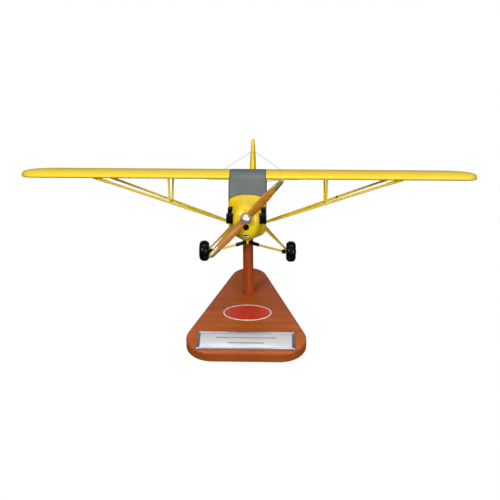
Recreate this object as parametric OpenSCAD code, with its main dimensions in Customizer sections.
// Carved wooden display model of a strut-braced high-wing light aeroplane on its desk stand.
// Millimetres, +Z up. The origin is on the underside of the stand, below the post.
// The nose points to -Y, so the aeroplane's own left side is +X.
// The aeroplane is drawn level, about the nose end of its datum line, and
// on_stand() then tips it nose-up and sets it on the post.

/* [Wing] */
// Distance between the wing tips
wing_span = 445.8; // [430:0.1:460]
// Front to back size of the wing
wing_chord = 66.7; // [62:0.1:70]
// Height of the leading edge above the datum line
wing_z = 31.7; // [31:0.1:32.5]
// Angle of the wing to the datum line
wing_incidence = 2; // [1:0.5:3]
// Length of each rounded wing tip
tip_length = 36; // [25:1:45]

/* [Fuselage] */
// Width of the cabin
cabin_w = 35.4; // [34:0.2:37]
// Thickness of the window panels
window_t = 0.5; // [0.3:0.1:0.8]

/* [Propeller] */
// Diameter of the propeller
propeller_d = 100; // [90:1:104]
// Diameter of the spinner
spinner_d = 9.8; // [8:0.2:10]
// Angle of the resting blade above the horizontal
propeller_angle = 47.3; // [0:0.1:90]
// Height of the propeller axis against the datum line
thrust_z = -0.8; // [-1:0.1:0]

/* [Undercarriage] */
// Distance between the middles of the main wheels
track = 84.8; // [82:0.2:88]
// Diameter of a main tyre
tyre_d = 20.2; // [18:0.2:21]
// Width of a main tyre
tyre_w = 9.6; // [8:0.2:10]
// Running clearance on the radius of every turning bore
running_gap = 0.04; // [0.02:0.01:0.08]

/* [Tail] */
// Distance between the tips of the tailplane
tailplane_span = 120; // [110:1:126]
// Height of the tailplane's underside above the datum line
tailplane_z = 8; // [7.5:0.1:8.5]
// Diameter of the bracing wires
wire_d = 0.6; // [0.4:0.1:0.8]

/* [Stand] */
// Greatest width of the base
base_w = 116; // [110:1:120]
// Length of the base from its front edge to its rear corner
base_l = 149; // [135:0.5:155]
// Distance from the front edge of the base to the post's axis
base_front = 100.5; // [90:0.1:104]
// Thickness of the wooden base
base_t = 11; // [9:0.5:14]
// Thickness of the felt under the base
felt_t = 1; // [0.5:0.1:1.5]
// Diameter of the post
post_d = 10.4; // [8.5:0.1:11]
// Height of the post's axis above the base, up to the belly
post_h = 74.2; // [60:0.1:90]
// Nose-up angle of the aeroplane
pitch = 21; // [15:0.5:22]
// Diameter of the steel peg that carries the aeroplane
peg_d = 4; // [3:0.1:4.5]

/* [Hidden] */

$fn = 48;
LEFT = 1;
RIGHT = -1;
cut = 0.5; // how far a cutting tool passes a face that it opens

paint_yellow = "#F4CE1B";
mahogany = "#8B3E1C";
window_grey = "#6E7778";
gloss_black = "#141416";
bright_metal = "#C9CBCD";
brass_metal = "#C49A4A";

// ---- rings of points and the skin over them ----

corner_steps = 6;

// A box with elliptical corners, standing across the fuselage at y
// s = [y, half width, top, bottom, [top corner width, height], [bottom corner width, height]]
function quarter(cx, cz, rx, rz, from) =
  [for (i = [0:corner_steps]) let (g = from + 90 * i / corner_steps) [cx + rx * cos(g), cz + rz * sin(g)]];
function section(s) =
  let (
    w = s[1],
    tx = min(s[4].x, w - 0.15),
    bx = min(s[5].x, w - 0.15),
    tz = s[2] - s[4].y,
    bz = s[3] + s[5].y,
    outline = concat(
      quarter(w - tx, tz, tx, s[4].y, 0),
      quarter(tx - w, tz, tx, s[4].y, 90),
      quarter(bx - w, bz, bx, s[5].y, 180),
      quarter(w - bx, bz, bx, s[5].y, 270)
    )
  )
  [for (p = outline) [p.x, s[0], p.y]];

// A closed solid through rings that all have the same number of points
module skin(rings) {
  n = len(rings[0]);
  last = (len(rings) - 1) * n;
  walls = [
    for (i = [0:len(rings) - 2], j = [0:n - 1])
      let (a = i * n + j, b = i * n + (j + 1) % n)
      each [[a, b, b + n], [a, b + n, a + n]]
  ];
  first_cap = [for (j = [n - 1:-1:0]) j];
  last_cap = [for (j = [0:n - 1]) last + j];
  polyhedron([for (r = rings) each r], concat(walls, [first_cap, last_cap]), convexity = 8);
}

// A straight round bar between two points
module rod(p, q, d) {
  v = q - p;
  translate(p) rotate([0, acos(v.z / norm(v)), atan2(v.y, v.x)]) cylinder(h = norm(v), d = d);
}

// A cylinder along X from x0 to x1
module bar_x(x0, x1, d) {
  translate([x0, 0, 0]) rotate([0, 90, 0]) cylinder(h = x1 - x0, d = d);
}

// A cylinder along Y from y0 to y1
module bar_y(y0, y1, d) {
  translate([0, y0, 0]) rotate([-90, 0, 0]) cylinder(h = y1 - y0, d = d);
}

// ---- stand ----

base_top = felt_t + base_t;
base_rear = base_l - base_front;
front_corner_r = 25.5;
rear_corner_r = 19;
corner_run = [front_corner_r - base_w / 2, base_l - front_corner_r - rear_corner_r];
// direction in which the straight sides touch the corners
side_angle = atan2(corner_run.y, corner_run.x) - acos((front_corner_r - rear_corner_r) / norm(corner_run));
base_corners = [
  [base_w / 2 - front_corner_r, front_corner_r - base_front, front_corner_r, -90, side_angle],
  [0, base_rear - rear_corner_r, rear_corner_r, side_angle, 180 - side_angle],
  [front_corner_r - base_w / 2, front_corner_r - base_front, front_corner_r, 180 - side_angle, 270]
];
post_foot = 6; // depth of the post's socket in the base
screw_d = 4;
screw_head_d = 8;
screw_top = base_top + 12;
belly_z = -22.4;
pivot_y = 68.5; // the post's axis meets the belly here
peg_depth = 16; // how far the peg stands in the post and in the belly

// Rounded triangle of the base, drawn in by inset
function base_outline(inset) = [
  for (c = base_corners, i = [0:8])
    let (g = c[3] + (c[4] - c[3]) * i / 8)
    [c.x + (c[2] - inset) * cos(g), c.y + (c[2] - inset) * sin(g)]
];

// The aeroplane's level frame, tipped nose-up with its belly on the post
module on_stand() {
  translate([0, 0, base_top + post_h]) rotate([-pitch, 0, 0]) translate([0, -pivot_y, -belly_z]) children();
}

module stand_base() {
  edges = [[felt_t, 0], [base_top - 1.5, 0], [base_top - 0.6, 0.3], [base_top, 1.2]];
  color(mahogany) difference() {
    skin([for (e = edges) [for (p = base_outline(e[1])) [p.x, p.y, e[0]]]]);
    translate([0, 0, base_top - post_foot]) cylinder(h = post_foot + cut, d = post_d);
    translate([0, 0, felt_t - cut]) cylinder(h = base_t, d = screw_d);
    translate([0, 0, felt_t - cut]) cylinder(h = 3 + cut, d = screw_head_d);
  }
}

module base_felt() {
  color("#20221F") linear_extrude(felt_t) polygon(base_outline(2));
}

module stand_post() {
  color(mahogany) difference() {
    translate([0, 0, base_top - post_foot]) cylinder(h = post_h + post_foot + 4, d = post_d);
    on_stand() translate([-10, pivot_y - 20, belly_z]) cube([20, 40, 20]);
    translate([0, 0, base_top + post_h - peg_depth]) cylinder(h = peg_depth + 4, d = peg_d);
    cylinder(h = screw_top, d = screw_d);
  }
}

module post_screw() {
  color(brass_metal) {
    translate([0, 0, felt_t]) cylinder(h = 3, d = screw_head_d);
    translate([0, 0, felt_t]) cylinder(h = screw_top - felt_t, d = screw_d);
  }
}

module post_peg() {
  color(bright_metal)
    translate([0, 0, base_top + post_h - peg_depth]) cylinder(h = 2 * peg_depth, d = peg_d);
}

// ---- nameplate and badge on the base ----

plate_w = 94;
plate_l = 27.5;
plate_y = 4.9 - base_front; // front edge of the frame
frame_wall = 3;
frame_t = 1.6;

module nameplate_frame() {
  color(bright_metal) translate([-plate_w / 2, plate_y, base_top]) difference() {
    cube([plate_w, plate_l, frame_t]);
    translate([frame_wall, frame_wall, -cut])
      cube([plate_w - 2 * frame_wall, plate_l - 2 * frame_wall, frame_t + 2 * cut]);
  }
}

module nameplate() {
  color("#F0F0F0") translate([frame_wall - plate_w / 2, plate_y + frame_wall, base_top])
    cube([plate_w - 2 * frame_wall, plate_l - 2 * frame_wall, 0.8]);
}

badge_w = 48;
badge_l = 27;
badge_y = -35;
badge_t = 0.4;

// Plain oval, with its edge drawn in by inset
function oval(inset) = [
  for (i = [0:47]) [(badge_w / 2 - inset) * cos(7.5 * i), badge_y + (badge_l / 2 - inset) * sin(7.5 * i)]
];

module base_badge() {
  color("#B3202A") translate([0, 0, base_top]) linear_extrude(badge_t) polygon(oval(1.2));
}

module badge_border() {
  color("#EFE6D6") translate([0, 0, base_top]) linear_extrude(badge_t) difference() {
    polygon(oval(0));
    polygon(oval(1.2));
  }
}

// ---- fuselage ----

cabin = cabin_w / 2;
nose_y = 10.5;
// One carved block: nose, cabin and tapering tail
fuselage_stations = [
  [nose_y, 7.5, 4.5, -13.5, [7.5, 8.3], [7.5, 9.5]],
  [12, 10.5, 7.4, -18, [10.5, 11.2], [10.5, 14]],
  [15, 12.4, 9.6, -21.4, [12.4, 13.4], [12.4, 17.2]],
  [20, 13.5, 11.6, -23.6, [13.5, 15.2], [13.5, 19]],
  [30, 15.2, 14.2, -24.8, [15.2, 13], [14, 16]],
  [38, 17, 16.3, -24, [16.8, 9], [11, 10]],
  [41, cabin - 0.2, 17, -23.4, [17.2, 7], [8, 7]],
  [50, cabin, 32.5, belly_z, [3.5, 3.5], [4, 4]],
  [55, cabin, 35.2, belly_z, [3, 3], [4, 4]],
  [62, cabin, 36.8, belly_z, [3, 3], [4, 4]],
  [74, cabin, 37.2, belly_z, [3, 3], [4, 4]],
  [90, cabin, 35.4, belly_z, [3, 3], [4, 4]],
  [104, cabin, 32.2, -22, [3, 3], [4, 4]],
  [116, cabin - 0.6, 29, -21.4, [5, 5], [5, 5]],
  [132, cabin - 1.6, 23.6, -20, [9, 7], [5, 5]],
  [150, cabin - 3.2, 19.4, -17.6, [10, 7], [5, 5]],
  [180, cabin - 6.4, 15.6, -12.6, [8, 6], [4.5, 4.5]],
  [210, 7.8, 12.8, -7.4, [6, 5], [3.5, 3.5]],
  [235, 4.6, 10.9, -2.8, [4, 3.6], [2.6, 2.6]],
  [253, 2.4, 9.6, 0.4, [2.2, 2.2], [1.8, 1.8]]
];

module fuselage_block() {
  skin([for (s = fuselage_stations) section(s)]);
}

module fuselage() {
  color(paint_yellow) difference() {
    on_stand() difference() {
      fuselage_block();
      translate([0, 0, thrust_z]) bar_y(nose_y - cut, shaft_end, shaft_d);
      for (side = [LEFT, RIGHT]) {
        dowel_pair(side);
        main_strut(side, front_strut);
        main_strut(side, rear_strut);
        gear_plate(side);
        lower_wire(side);
        for (c = [front_cylinder, rear_cylinder]) {
          translate([0, c.y, c.z]) mirror([side == LEFT ? 0 : 1, 0, 0]) {
            bar_x(c[3], 20, cylinder_d + 0.8);
            bar_x(spigot_x, c[3] + cut, spigot_d);
          }
        }
      }
      translate([0, 0, intake_z]) bar_y(nose_y - cut, nose_y + 4, intake_d);
      scoop_body(0);
      cabane_plate();
      tailplane_board();
      fin_board();
      spring_leaf();
    }
    translate([0, 0, base_top + post_h - 2]) cylinder(h = peg_depth + 2.3, d = peg_d + 2 * running_gap);
  }
}

// The screen is the sloping face between the nose and the cabin roof
module windscreen() {
  color(window_grey) on_stand() difference() {
    intersection() {
      translate([0, -window_t, 0]) fuselage_block();
      translate([-cabin + 1, 36, 10]) cube([cabin_w - 2, 13.4, 22]);
    }
    translate([-20, 30, -10]) cube([40, 10.8, 40]);
    fuselage_block();
  }
}

module skylight() {
  color(window_grey) on_stand() difference() {
    intersection() {
      translate([0, 0, window_t]) fuselage_block();
      translate([3 - cabin, 51, 25]) cube([cabin_w - 6, 44, 20]);
    }
    fuselage_block();
  }
}

// Long side window under the wing, flat on the cabin side
module side_window(side) {
  outline = [[50.5, 6], [100, 6], [103.5, 15], [103.5, 26.5], [52, 26.5], [50.5, 22]];
  x = side == LEFT ? cabin : -cabin - window_t;
  color(window_grey) on_stand() translate([x, 0, 0])
    rotate([90, 0, 90]) linear_extrude(window_t) polygon(outline);
}

module left_window() { side_window(LEFT); }
module right_window() { side_window(RIGHT); }

// ---- wing ----

foil_steps = 12;
foil_camber = 0.04;
foil_peak = 0.4; // where the camber is greatest, as a share of the chord
foil_thickness = 0.11;

function camber(s) =
  s < foil_peak
    ? foil_camber / foil_peak ^ 2 * (2 * foil_peak * s - s ^ 2)
    : foil_camber / (1 - foil_peak) ^ 2 * (1 - 2 * foil_peak + 2 * foil_peak * s - s ^ 2);
function half_thick(s) =
  let (rest = 0.126 * s + 0.3516 * s ^ 2 - 0.2843 * s ^ 3 + 0.1015 * s ^ 4)
  5 * foil_thickness * (0.2969 * sqrt(s) - rest) + 0.004 * s;
// Over the top from the trailing edge to the leading edge, then back underneath:
// share of the chord, and 1 above or -1 below
foil = [
  for (i = [0:2 * foil_steps])
    [(1 + cos(180 * i / foil_steps)) / 2, i <= foil_steps ? 1 : -1]
];
function foil_rise(p, fuller) = camber(p.x) + p.y * fuller * half_thick(p.x);

leading_edge_y = 50;
lead_round = 14; // how far from the tip the leading edge starts to curve back
tip_centre = 0.42; // where the tip closes, as a share of the chord
// Distances from the tip at which the rounded part is drawn
tip_steps = [30, 24, 18, 14, 10.5, 7.5, 5, 3, 1.5, 0.6, 0.15];

// How far an elliptical edge of a given reach and depth has drawn in, from_tip from the wing's end
function drawn_in(from_tip, reach, depth) =
  let (u = max(0, 1 - from_tip / reach)) depth * (1 - sqrt(1 - u * u));

// Section of the wing, from_tip from its end; the panel keeps its thickness well into the tip
function wing_section(from_tip) =
  let (
    lead = drawn_in(from_tip, lead_round, tip_centre * wing_chord),
    c = wing_chord - lead - drawn_in(from_tip, tip_length, (1 - tip_centre) * wing_chord),
    fuller = sqrt(wing_chord / c)
  )
  [
    for (p = foil)
      let (y = lead + c * p.x, z = wing_z - y * sin(wing_incidence))
      [wing_span / 2 - from_tip, leading_edge_y + y, z + c * foil_rise(p, fuller)]
  ];

module wing_panel() {
  starts = [wing_span / 2 - cabin, tip_length];
  skin([for (d = concat(starts, tip_steps)) wing_section(d)]);
}

module wing(side) {
  color(paint_yellow) on_stand() difference() {
    mirror([side == LEFT ? 0 : 1, 0, 0]) wing_panel();
    dowel_pair(side);
    main_strut(side, front_strut);
    main_strut(side, rear_strut);
    jury_rods(side);
  }
}

module left_wing() { wing(LEFT); }
module right_wing() { wing(RIGHT); }

// Two dowels cross the cabin and pin both wing roots to it
dowel_d = 3;
dowel_y = [leading_edge_y + 12, leading_edge_y + 36];
dowel_z = [33.5, 32];
dowel_reach = cabin + 14;

module dowel_pair(side) {
  for (i = [0, 1]) {
    translate([0, dowel_y[i], dowel_z[i]])
      mirror([side == LEFT ? 0 : 1, 0, 0]) bar_x(-cut, dowel_reach, dowel_d);
  }
}

module wing_dowels() {
  color("#C9A36B") on_stand() for (i = [0, 1]) {
    translate([0, dowel_y[i], dowel_z[i]]) bar_x(-dowel_reach, dowel_reach, dowel_d);
  }
}

// ---- wing struts ----

strut_d = 2.6;
jury_d = 2;
strut_foot = [cabin - 0.8, 61, -13.4];
// Wing end of each main strut, just inside the wing
front_strut = [149.4, 58, 30.4];
rear_strut = [145.6, 93, 28.8];
jury_share = 0.444; // how far up the front strut the jury struts stand
rear_jury_share = 0.453;

function at_side(side, p) = [side * p.x, p.y, p.z];
// Rear struts start a little behind the front ones, so the pair don't share one hole
function strut_root(top) = strut_foot + [0, top.y > 80 ? 5 : 0, 0];
function on_strut(top, share) = strut_root(top) + share * (top - strut_root(top));

module main_strut(side, top) {
  rod(at_side(side, strut_root(top)), at_side(side, top), strut_d);
}

module wing_strut(side, top) {
  color(paint_yellow) on_stand() main_strut(side, top);
}

// Upright from each main strut to the wing, and a tie between the two struts
module jury_rods(side) {
  front_foot = on_strut(front_strut, jury_share);
  rear_foot = on_strut(rear_strut, rear_jury_share);
  rod(at_side(side, front_foot), at_side(side, [front_foot.x + 1, 59, 30.6]), jury_d);
  rod(at_side(side, rear_foot), at_side(side, [rear_foot.x, 90, 29]), jury_d);
  rod(at_side(side, front_foot), at_side(side, rear_foot), jury_d);
}

module jury_struts(side) {
  color(paint_yellow) on_stand() difference() {
    jury_rods(side);
    main_strut(side, front_strut);
    main_strut(side, rear_strut);
  }
}

module left_front_strut() { wing_strut(LEFT, front_strut); }
module left_rear_strut() { wing_strut(LEFT, rear_strut); }
module right_front_strut() { wing_strut(RIGHT, front_strut); }
module right_rear_strut() { wing_strut(RIGHT, rear_strut); }
module left_jury_struts() { jury_struts(LEFT); }
module right_jury_struts() { jury_struts(RIGHT); }

// Airspeed tube on a short mast above the left front strut
module pitot_tube() {
  seat = on_strut(front_strut, 0.52);
  color(gloss_black) on_stand() difference() {
    union() {
      rod(seat + [0, -5, 3.6], seat + [0, 3, 3.6], 1.4);
      translate(seat + [-0.6, -1.2, 0]) cube([1.2, 2.4, 3.6]);
    }
    main_strut(LEFT, front_strut);
  }
}

// ---- engine cylinders, intake and scoop ----

cylinder_d = 10;
// Outer end, height and place of the axis across the nose, and where its recess in the cowl starts
front_cylinder = [18.8, 19, -2.6, 12.8];
rear_cylinder = [17.9, 30.5, 1.6, 11.8];
spigot_x = 7;
spigot_d = 4;
fin_pitch = 1.3;
fin_gap = 0.6;
barrel_d = 7.4;

// Finned barrel turned about its own axis, from the cowl outwards
module engine_cylinder(side, c) {
  first = c[3] + 0.2;
  fins = floor((c.x - first) / fin_pitch);
  fin_t = fin_pitch - fin_gap;
  rise = [for (i = [0:fins - 1]) let (x = first + i * fin_pitch) each [
    [barrel_d / 2, x], [cylinder_d / 2, x], [cylinder_d / 2, x + fin_t], [barrel_d / 2, x + fin_t]
  ]];
  stub = [[0, spigot_x], [spigot_d / 2, spigot_x], [spigot_d / 2, first]];
  profile = concat(stub, rise, [[barrel_d / 2, c.x], [0, c.x]]);
  color(gloss_black) on_stand() translate([0, c.y, c.z]) mirror([side == LEFT ? 0 : 1, 0, 0])
    rotate([0, 90, 0]) rotate_extrude() polygon(profile);
}

module left_front_cylinder() { engine_cylinder(LEFT, front_cylinder); }
module left_rear_cylinder() { engine_cylinder(LEFT, rear_cylinder); }
module right_front_cylinder() { engine_cylinder(RIGHT, front_cylinder); }
module right_rear_cylinder() { engine_cylinder(RIGHT, rear_cylinder); }

intake_z = -9.6;
intake_d = 5.6;

module intake_liner() {
  color(gloss_black) on_stand() translate([0, 0, intake_z]) difference() {
    bar_y(nose_y - 0.15, nose_y + 4, intake_d);
    bar_y(nose_y - 1, nose_y + 3, intake_d - 1.4);
  }
}

scoop_z = -17.8;
scoop_w = 7.2;
scoop_h = 2.8;

// Flat oval tube let into the chin, its wall drawn in by inset
module scoop_body(inset) {
  r = scoop_h / 2 - inset;
  half = (scoop_w - scoop_h) / 2;
  translate([0, 10.8, scoop_z]) rotate([-90, 0, 0]) linear_extrude(9) {
    translate([-half, 0]) circle(r);
    translate([half, 0]) circle(r);
    translate([-half, -r]) square([2 * half, 2 * r]);
  }
}

module chin_scoop() {
  color(bright_metal) on_stand() difference() {
    scoop_body(0);
    translate([0, -4, 0]) scoop_body(0.6);
  }
}

// ---- propeller ----

shaft_d = 2.5;
shaft_end = 24;
shaft_head_d = 4.4;
hub_front = 5;
hub_back = 9.6;
hub_d = 11.6;
tip_start = 37.6; // the metal sheaths cover the blades from here out
pin_r = 5.7;
pin_d = 1.5;
blade_steps = 14;
tip_r = propeller_d / 2;
// Blade stations: distance from the axis, width, thickness and angle of the blade
blade = [
  [3, 6.8, 4.2, 40],
  [9, 8, 3.5, 34],
  [16, 8.5, 3.1, 28],
  [24, 8.3, 2.6, 22],
  [31, 7.4, 2.1, 18],
  [tip_start, 6.2, 1.7, 16]
];
sheath = [
  [tip_start, 6.5, 2, 16],
  [tip_start + 4, 6, 1.8, 15],
  [tip_r - 3.4, 5.1, 1.5, 15],
  [tip_r - 1.1, 3.6, 1.1, 15],
  [tip_r, 1.4, 0.7, 15]
];

// Oval section of a blade across its length; the leading edge is forward
function blade_section(b) = [
  for (i = [0:blade_steps - 1])
    let (
      g = 360 * i / blade_steps,
      across = b[1] / 2 * cos(g),
      deep = b[2] / 2 * sin(g)
    )
    [b[0], deep * cos(b[3]) - across * sin(b[3]), across * cos(b[3]) + deep * sin(b[3])]
];

// Children are drawn about the propeller's axis, once for each blade
module each_blade() {
  translate([0, (hub_front + hub_back) / 2, thrust_z])
    for (turn = [0, 180]) rotate([0, turn - propeller_angle, 0]) children();
}

module propeller() {
  color("#B8701F") on_stand() difference() {
    union() {
      each_blade() skin([for (b = blade) blade_section(b)]);
      translate([0, 0, thrust_z]) bar_y(hub_front, hub_back, hub_d);
    }
    translate([0, 0, thrust_z]) {
      bar_y(hub_front - cut, hub_back + cut, shaft_d + 2 * running_gap);
      bar_y(hub_front - cut, hub_front + 1.4, shaft_head_d + 0.6);
    }
    spinner_dome();
    pins();
  }
}

module propeller_tips() {
  color("#C8C2AE") on_stand() each_blade() skin([for (b = sheath) blade_section(b)]);
}

module spinner_dome() {
  translate([0, hub_front, thrust_z]) difference() {
    sphere(d = spinner_d);
    translate([-10, 0, -10]) cube(20);
  }
}

module spinner() {
  color(bright_metal) on_stand() spinner_dome();
}

module pins() {
  each_blade() translate([pin_r, hub_front - (hub_front + hub_back) / 2, 0])
    rotate([-90, 0, 0]) translate([0, 0, -0.9]) cylinder(h = 3.4, d = pin_d);
}

module hub_pins() {
  color(brass_metal) on_stand() pins();
}

module propeller_shaft() {
  color(bright_metal) on_stand() translate([0, 0, thrust_z]) {
    bar_y(hub_front + 0.3, shaft_end, shaft_d);
    bar_y(hub_front + 0.3, hub_front + 1.2, shaft_head_d);
  }
}

module thrust_washer() {
  color(brass_metal) on_stand() translate([0, 0, thrust_z]) difference() {
    bar_y(hub_back + 0.15, nose_y, 6);
    bar_y(hub_back, nose_y + cut, shaft_d);
  }
}

// ---- main undercarriage ----

wheel = [track / 2, 61, -41.7];
axle_d = 2;
collar_d = 4.4;
collar_in = wheel.x - tyre_w / 2 - 4;
collar_out = wheel.x - tyre_w / 2 - 0.4;
leg_top = [16, -18]; // where the leg enters the lower side of the cabin, across and up
leg_angle = 45;
leg_length = 30.5;
leg_t = 1.5;

// Three-cornered covered leg: wide at the cabin, narrow at the axle
module gear_plate(side) {
  outline = [[49, -2.5], [80, -2.5], [80, 0], [64, leg_length], [58, leg_length], [49, 0]];
  mirror([side == LEFT ? 0 : 1, 0, 0]) translate([leg_top.x, 0, leg_top.y])
    rotate([0, 90 + leg_angle, 0]) rotate([90, 0, 0]) rotate([0, 90, 0])
      translate([0, 0, -leg_t / 2]) linear_extrude(leg_t) polygon(outline);
}

module axle_collar(side) {
  mirror([side == LEFT ? 0 : 1, 0, 0])
    translate([0, wheel.y, wheel.z]) bar_x(collar_in, collar_out, collar_d);
}

module gear_leg(side) {
  color(paint_yellow) on_stand() difference() {
    gear_plate(side);
    axle_collar(side);
  }
}

// Filled V under the belly that carries the inner ends of the shock struts
module cabane_plate() {
  outline = [[-6, belly_z + 2], [6, belly_z + 2], [1.4, -33.4], [-1.4, -33.4]];
  translate([0, 59.2, 0]) rotate([90, 0, 0]) linear_extrude(2.4) polygon(outline);
}

module gear_cabane() {
  color(paint_yellow) on_stand() cabane_plate();
}

shock_top = [1, 58, -31.8];
shock_mid = [11.2, 58.8, -35.2];
shock_end = [wheel.x - tyre_w / 2 - 2.2, 61, wheel.z];

module shock_rod_bar(side) {
  rod(at_side(side, shock_mid), at_side(side, shock_end), 2.2);
}

module shock_cover(side) {
  color(gloss_black) on_stand() difference() {
    rod(at_side(side, shock_top), at_side(side, shock_mid), 3.6);
    cabane_plate();
    shock_rod_bar(side);
  }
}

module shock_rod(side) {
  color(paint_yellow) on_stand() difference() {
    shock_rod_bar(side);
    axle_collar(side);
    gear_plate(side);
  }
}

module axle(side) {
  color(gloss_black) on_stand() {
    axle_collar(side);
    mirror([side == LEFT ? 0 : 1, 0, 0]) translate([0, wheel.y, wheel.z]) {
      bar_x(collar_in, wheel.x + tyre_w / 2 + 0.2, axle_d);
      bar_x(wheel.x + tyre_w / 2 - 0.5, wheel.x + tyre_w / 2 + 0.3, 3);
    }
  }
}

// Balloon tyre turned about the axle: an outline with fully rounded shoulders
module tyre(side) {
  hub_r = 3.6;
  shoulder = 4;
  half = tyre_w / 2;
  rim = tyre_d / 2 - shoulder;
  crown = [
    for (i = [0:8])
      let (g = 11.25 * i)
      [rim + shoulder * cos(g), half - shoulder + shoulder * sin(g)]
  ];
  inner = [for (i = [8:-1:0]) [crown[i].x, -crown[i].y]];
  profile = concat([[hub_r, -half + 1]], inner, crown, [[hub_r, half - 1]]);
  color(gloss_black) on_stand() translate([side * wheel.x, wheel.y, wheel.z])
    rotate([0, 90, 0]) rotate_extrude($fn = 64) polygon(profile);
}

module hub(side) {
  color(gloss_black) on_stand() translate([side * wheel.x, wheel.y, wheel.z]) difference() {
    bar_x(1 - tyre_w / 2, tyre_w / 2 - 1, 7.2);
    bar_x(-tyre_w, tyre_w, axle_d + 2 * running_gap);
  }
}

module left_gear_leg() { gear_leg(LEFT); }
module right_gear_leg() { gear_leg(RIGHT); }
module left_shock_cover() { shock_cover(LEFT); }
module right_shock_cover() { shock_cover(RIGHT); }
module left_shock_rod() { shock_rod(LEFT); }
module right_shock_rod() { shock_rod(RIGHT); }
module left_axle() { axle(LEFT); }
module right_axle() { axle(RIGHT); }
module left_tyre() { tyre(LEFT); }
module right_tyre() { tyre(RIGHT); }
module left_hub() { hub(LEFT); }
module right_hub() { hub(RIGHT); }

// ---- tail ----

tailplane_t = 2;
fin_foot = tailplane_z + tailplane_t;
// Upright rings: height, front edge, rear edge and thickness
fin_rings = [
  [fin_foot, 226, 283.4, 7.2],
  [20, 233.5, 284, 7],
  [28, 239, 282.6, 6.2],
  [35, 243.6, 279.4, 5.4],
  [41, 247.6, 275.4, 4.8],
  [46, 251.6, 271, 4.2],
  [49.4, 255.4, 267, 3.4],
  [51.4, 259.4, 263.4, 2]
];
rudder_rings = [
  [-2.6, 258, 267, 2.4],
  [-0.6, 255.6, 274, 3.6],
  [4, 254.6, 280.6, 5.6],
  [fin_foot, 254.6, 283.4, 7.2]
];

// Lens-shaped section of an upright surface
function upright_ring(f) = [
  for (i = [0:17])
    let (g = 20 * i)
    [f[3] / 2 * sin(g), (f[1] + f[2]) / 2 + (f[2] - f[1]) / 2 * cos(g), f[0]]
];

module fin_board() {
  skin([for (f = fin_rings) upright_ring(f)]);
}

module vertical_tail() {
  color(paint_yellow) on_stand() difference() {
    union() {
      fin_board();
      skin([for (f = rudder_rings) upright_ring(f)]);
    }
    for (side = [LEFT, RIGHT]) upper_wire(side);
  }
}

tail_front = 222;
tail_back = 262;
notch_front = 250;

// Half outline of the tailplane, with a rounded tip and a notch for the rudder
module tailplane_board() {
  half = tailplane_span / 2;
  round_r = 19;
  tip = [
    for (i = [0:10])
      let (g = 90 - 9 * i)
      [half - round_r + round_r * cos(g), tail_front + round_r * (1 - sin(g))]
  ];
  back = [
    for (i = [0:6])
      let (g = -15 * i)
      [half - round_r + round_r * cos(g), tail_back - round_r - round_r * sin(g)]
  ];
  right_half = concat([[3.4, tail_front - 2]], tip, back, [[3.4, tail_back], [3.4, notch_front]]);
  left_half = [for (i = [len(right_half) - 1:-1:0]) [-right_half[i].x, right_half[i].y]];
  translate([0, 0, tailplane_z]) linear_extrude(tailplane_t) polygon(concat(right_half, left_half));
}

module tailplane() {
  color(paint_yellow) on_stand() difference() {
    tailplane_board();
    for (side = [LEFT, RIGHT]) {
      upper_wire(side);
      lower_wire(side);
    }
  }
}

wire_out = [46, 243, tailplane_z + tailplane_t / 2];

module upper_wire(side) {
  rod(at_side(side, [1, 245, 38.6]), at_side(side, wire_out), wire_d);
}

module lower_wire(side) {
  rod(at_side(side, [1, 245, 1.2]), at_side(side, wire_out + [0, 1.4, 0]), wire_d);
}

module upper_tail_wires() {
  color(bright_metal) on_stand() for (side = [LEFT, RIGHT]) upper_wire(side);
}

module lower_tail_wires() {
  color(bright_metal) on_stand() for (side = [LEFT, RIGHT]) lower_wire(side);
}

tail_axis = [0, 268, -12];
tail_wheel_d = 9;
tail_wheel_w = 3.4;

// Flat steel leaf from the tail's underside back to the fork
module spring_leaf() {
  upper = [[236, -1], [250, -1], [262, -5.4], [269, -5.4]];
  lower = [[269, -6.4], [261.6, -6.4], [249.6, -2], [236, -2]];
  translate([-1.5, 0, 0]) rotate([90, 0, 90]) linear_extrude(3) polygon(concat(upper, lower));
}

module tail_spring() {
  color(bright_metal) on_stand() spring_leaf();
}

module tail_fork() {
  color(gloss_black) on_stand() difference() {
    translate([-3.2, 266, -14]) cube([6.4, 4, 7.6]);
    translate([-2.1, 264, -15]) cube([4.2, 8, 7.8]);
    translate(tail_axis) bar_x(-4, 4, 1.2);
  }
}

module tail_axle() {
  color(bright_metal) on_stand() translate(tail_axis) bar_x(-3.5, 3.5, 1.2);
}

module tail_wheel() {
  color(gloss_black) on_stand() translate(tail_axis) difference() {
    rotate([0, 90, 0]) rotate_extrude() polygon([
      [0, -1.2], [2.6, -1.2], [3, -1.7], [3.8, -1.6], [4.4, -0.9], [4.5, 0],
      [4.4, 0.9], [3.8, 1.6], [3, 1.7], [2.6, 1.2], [0, 1.2]
    ]);
    bar_x(-4, 4, 1.2 + 2 * running_gap);
  }
}

stand_base();
base_felt();
stand_post();
post_screw();
post_peg();
nameplate_frame();
nameplate();
base_badge();
badge_border();
fuselage();
windscreen();
skylight();
left_window();
right_window();
left_wing();
right_wing();
wing_dowels();
left_front_strut();
left_rear_strut();
right_front_strut();
right_rear_strut();
left_jury_struts();
right_jury_struts();
pitot_tube();
left_front_cylinder();
left_rear_cylinder();
right_front_cylinder();
right_rear_cylinder();
intake_liner();
chin_scoop();
propeller_shaft();
thrust_washer();
propeller();
propeller_tips();
spinner();
hub_pins();
left_gear_leg();
right_gear_leg();
gear_cabane();
left_shock_cover();
right_shock_cover();
left_shock_rod();
right_shock_rod();
left_axle();
right_axle();
left_tyre();
left_hub();
right_tyre();
right_hub();
vertical_tail();
tailplane();
upper_tail_wires();
lower_tail_wires();
tail_spring();
tail_fork();
tail_axle();
tail_wheel();
